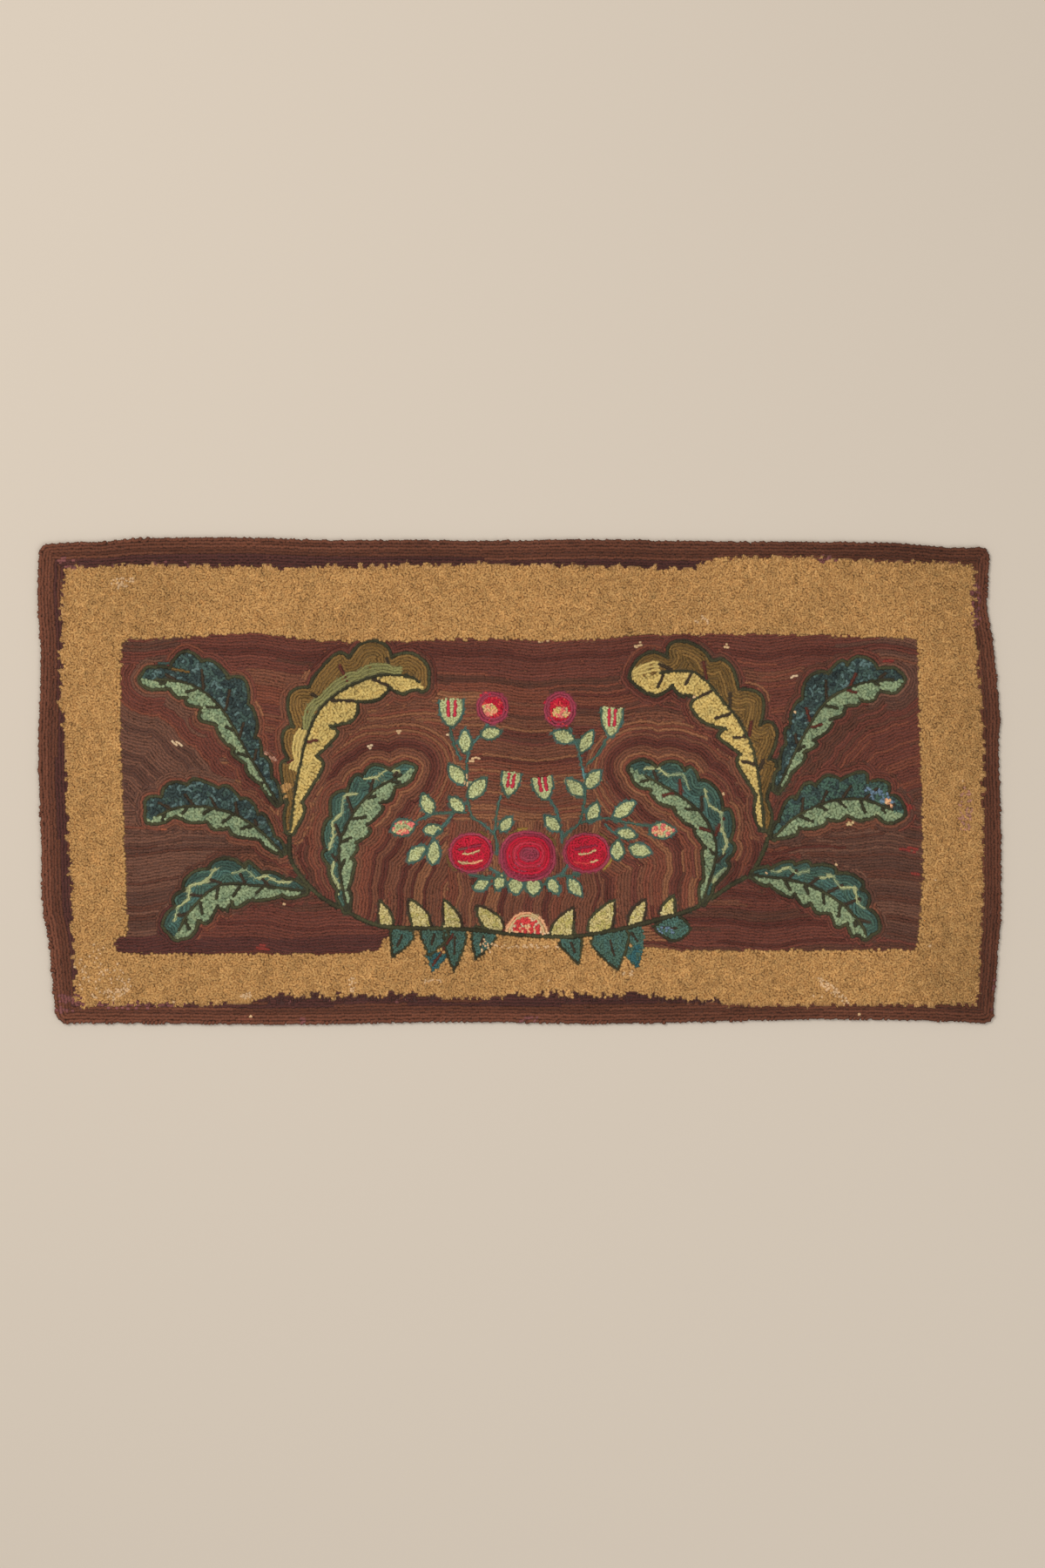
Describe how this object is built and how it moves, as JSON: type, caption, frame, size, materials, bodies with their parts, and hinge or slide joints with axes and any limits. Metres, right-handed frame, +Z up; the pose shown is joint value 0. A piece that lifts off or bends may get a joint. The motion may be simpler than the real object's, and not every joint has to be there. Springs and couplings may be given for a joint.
{
  "type": "hooked rug",
  "caption": "Flat hand-hooked wool rug with a dark rim, a tan curled-loop frame and a brown field of leaf sprays and small flowers over a stem garland.",
  "frame": {"origin": "middle of the rug's box, on the flat underside", "axes": "+X along the rug's long side, to the right as the leaf sprays stand upright; +Y across it, from the garland towards the leaf tips; +Z up out of the pile"},
  "size_m": [1.473, 0.7436, 0.0095],
  "materials": {
    "wool_pile": "matt hooked wool loops, worn, in brown, tan, green, blue and red",
    "foundation_cloth": "coarse plain-woven jute, turned under and stitched at its edge"
  },
  "bodies": {
    "root": {"hooked_rug": "wool_pile"}
  },
  "joints": []
}
